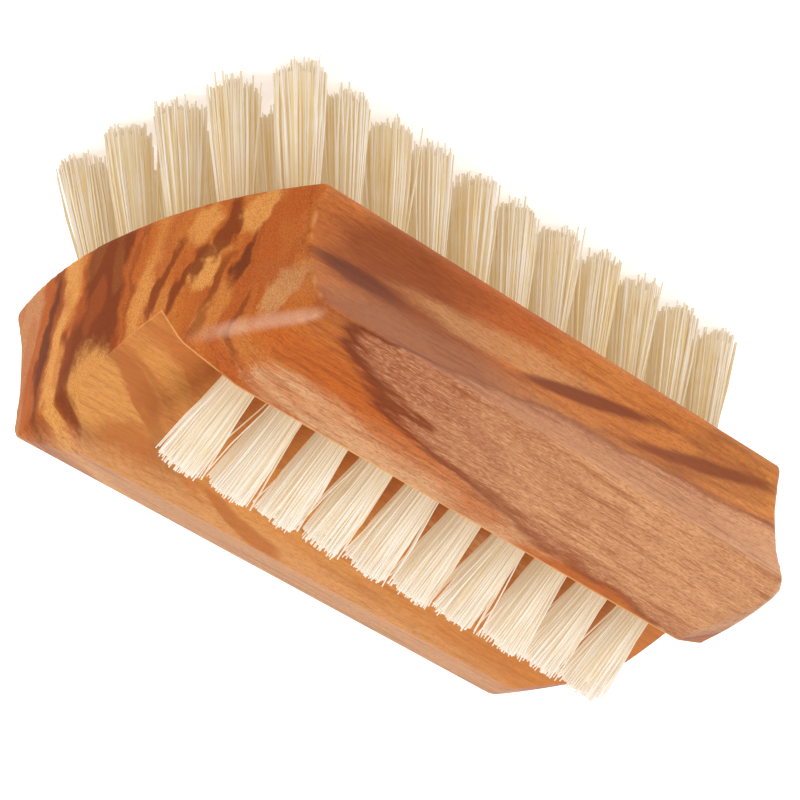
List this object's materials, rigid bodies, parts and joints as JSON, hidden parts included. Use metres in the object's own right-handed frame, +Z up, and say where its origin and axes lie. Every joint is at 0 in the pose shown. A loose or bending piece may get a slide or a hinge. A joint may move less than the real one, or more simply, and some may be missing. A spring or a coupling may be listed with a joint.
{
  "type": "nail brush",
  "caption": "Two-sided wooden nail brush with curved ends, finger coves, a broad field of main bristles and a slanted row of nail bristles in a notch along its back.",
  "frame": {"origin": "middle of the plane of the main bristle tips, under the centre of the brush", "axes": "+X along the brush, +Y towards the steep wall that carries the nail bristles, +Z up from the bristle tips to the wooden back"},
  "size_m": [0.095, 0.0449, 0.0444],
  "materials": {
    "olive_wood": "oiled satin, brown figure",
    "main_bristle": "cream natural bristle",
    "nail_bristle": "pale natural bristle",
    "staple_wire": "plain drawn wire"
  },
  "bodies": {
    "root": {"wooden_body": "olive_wood", "main_tufts_01": "main_bristle", "main_tufts_02": "main_bristle", "main_tufts_03": "main_bristle", "main_tufts_04": "main_bristle", "main_tufts_05": "main_bristle", "main_tufts_06": "main_bristle", "main_tufts_07": "main_bristle", "main_tufts_08": "main_bristle", "main_tufts_09": "main_bristle", "main_tufts_10": "main_bristle", "main_tufts_11": "main_bristle", "nail_tuft_01": "nail_bristle", "nail_tuft_02": "nail_bristle", "nail_tuft_03": "nail_bristle", "nail_tuft_04": "nail_bristle", "nail_tuft_05": "nail_bristle", "nail_tuft_06": "nail_bristle", "nail_tuft_07": "nail_bristle", "nail_tuft_08": "nail_bristle", "nail_tuft_09": "nail_bristle", "nail_tuft_10": "nail_bristle", "main_staples": "staple_wire", "nail_staples": "staple_wire"}
  },
  "joints": []
}
